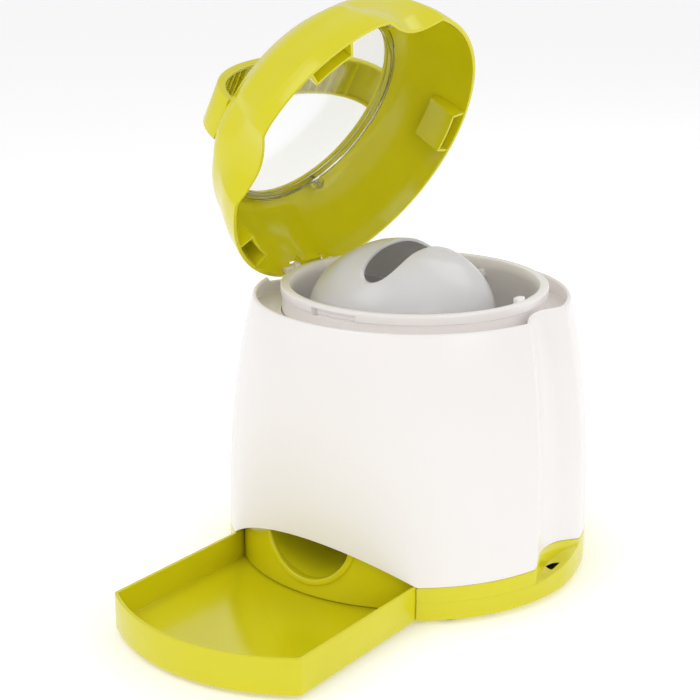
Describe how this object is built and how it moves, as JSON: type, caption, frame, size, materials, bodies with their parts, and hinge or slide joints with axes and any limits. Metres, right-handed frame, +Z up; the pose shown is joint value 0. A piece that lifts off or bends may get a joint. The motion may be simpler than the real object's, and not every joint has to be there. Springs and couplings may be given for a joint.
{
  "type": "automatic pet feeder",
  "caption": "Battery-powered pet feeder: a hinged lid with a clear window over a hopper with a rotating agitator, a chute under an arched front and a pull-out food tray.",
  "frame": {"origin": "on the table under the axis of the hopper's collar, at the middle of the base's flat underside, level with the feet", "axes": "+Z up, -Y towards the tray and the chute, +X to the right of someone facing the tray"},
  "size_m": [0.2224, 0.3031, 0.313],
  "materials": {
    "white_plastic": "smooth, warm white",
    "lime_plastic": "smooth, lime green",
    "milky_plastic": "milky translucent",
    "clear_plastic": "clear, polished",
    "steel": "zinc plated",
    "nylon": "natural nylon",
    "motor_can": "drawn steel can",
    "rubber": "matt black",
    "black_plastic": "fine grain",
    "cell_skin": "printed film",
    "board": "solder mask"
  },
  "bodies": {
    "base": {"base_tub": "lime_plastic", "body_shell": "white_plastic", "hopper_bowl": "white_plastic", "chute": "lime_plastic", "shaft_bush": "nylon", "motor": "motor_can", "motor_bracket": "white_plastic", "battery_box": "white_plastic", "battery_door": "lime_plastic", "door_screw": "steel", "circuit_board": "board", "hinge_pin": "steel", "battery_1": "cell_skin", "battery_2": "cell_skin", "battery_3": "cell_skin", "battery_4": "cell_skin", "foot_1": "rubber", "foot_2": "rubber", "foot_3": "rubber", "foot_4": "rubber", "base_screw_1": "steel", "base_screw_2": "steel", "base_screw_3": "steel", "base_screw_4": "steel"},
    "lid": {"lid_shell": "lime_plastic", "lid_window": "clear_plastic", "window_screw_1": "steel", "window_screw_2": "steel", "window_screw_3": "steel"},
    "tray": {"tray": "lime_plastic"},
    "rotor": {"agitator": "milky_plastic", "portion_wheel": "milky_plastic", "drive_shaft": "steel", "drive_gear": "nylon"},
    "pinion": {"motor_pinion": "nylon"},
    "switch": {"power_switch": "black_plastic"},
    "button": {"feed_button": "black_plastic"}
  },
  "joints": [
    {"name": "lid_hinge", "type": "hinge", "parent": "base", "child": "lid", "pos_m": [-0.08212, 0.00892, 0.1552], "axis": [-0.108, -0.9942, 0], "range_deg": [-61.2, 0]},
    {"name": "tray_slide", "type": "slide", "parent": "base", "child": "tray", "axis": [0, 1, 0], "range_m": [0, 0.097]},
    {"name": "rotor_spin", "type": "hinge", "parent": "base", "child": "rotor", "pos_m": [0, 0, 0.05], "axis": [0, 0, 1], "continuous": true},
    {"name": "pinion_spin", "type": "hinge", "parent": "base", "child": "pinion", "pos_m": [0, 0.0315, 0.05], "axis": [0, 0, 1], "continuous": true},
    {"name": "switch_slide", "type": "slide", "parent": "base", "child": "switch", "axis": [1, 0, 0], "range_m": [0, 0.004]},
    {"name": "button_press", "type": "slide", "parent": "base", "child": "button", "axis": [0, -1, 0], "range_m": [0, 0.002], "stiffness_N_per_m": 200}
  ],
  "couplings": [
    {"joint": "pinion_spin", "follows": "rotor_spin", "ratio": -3.2}
  ]
}
